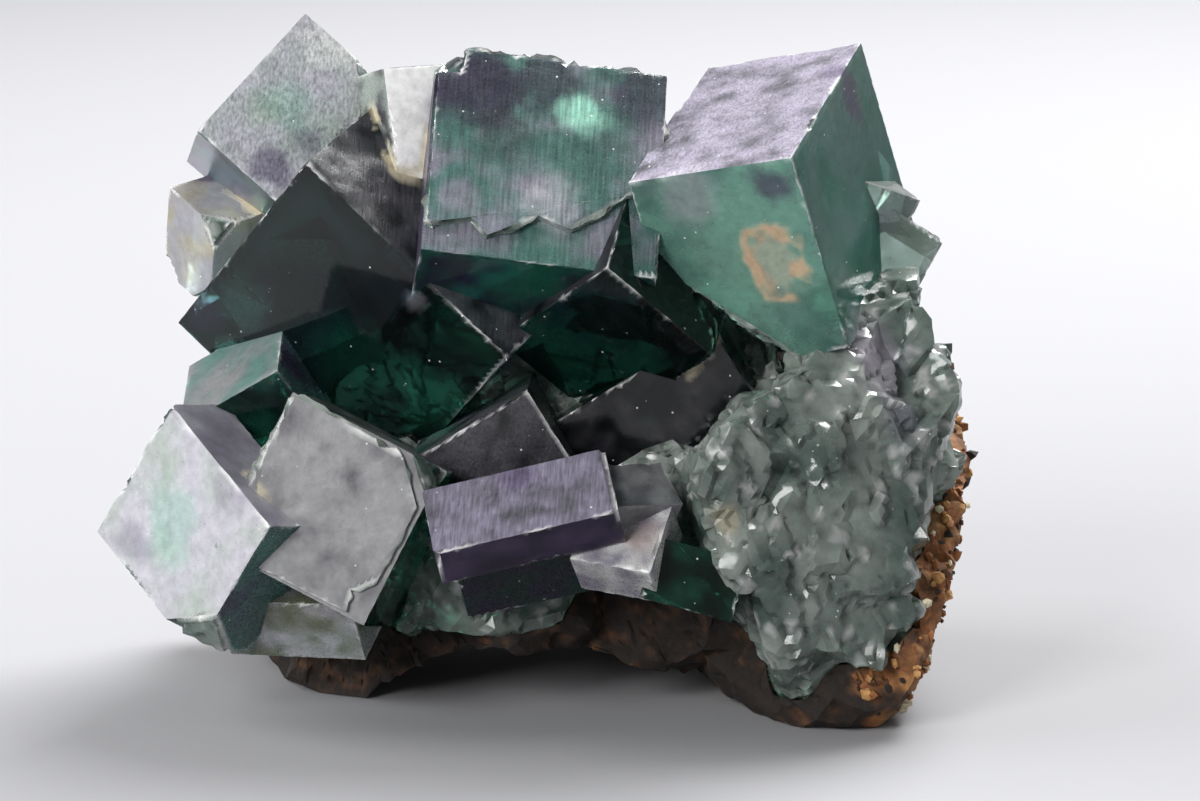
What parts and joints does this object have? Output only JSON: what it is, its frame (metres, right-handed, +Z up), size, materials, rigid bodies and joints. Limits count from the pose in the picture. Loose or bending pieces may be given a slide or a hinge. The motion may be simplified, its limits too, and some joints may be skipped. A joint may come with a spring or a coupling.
{
  "type": "fluorite crystal specimen",
  "caption": "Loose mineral specimen: intergrown green and purple fluorite cubes on broken massive fluorite, with a brown iron oxide crust under and behind it.",
  "frame": {"origin": "middle of the specimen's bounding box, on the surface it rests on", "axes": "+Z up, -Y out of the best side that faces the viewer, +X to the viewer's right along the length"},
  "size_m": [0.0512, 0.0318, 0.0398],
  "materials": {
    "fluorite": "green and purple fluorite, clear to cloudy, with etched and frosted faces",
    "iron_oxide": "rough brown to black iron oxide with rust-orange grains"
  },
  "bodies": {
    "root": {"fluorite_crystals": "fluorite", "iron_oxide_crust": "iron_oxide"}
  },
  "joints": []
}
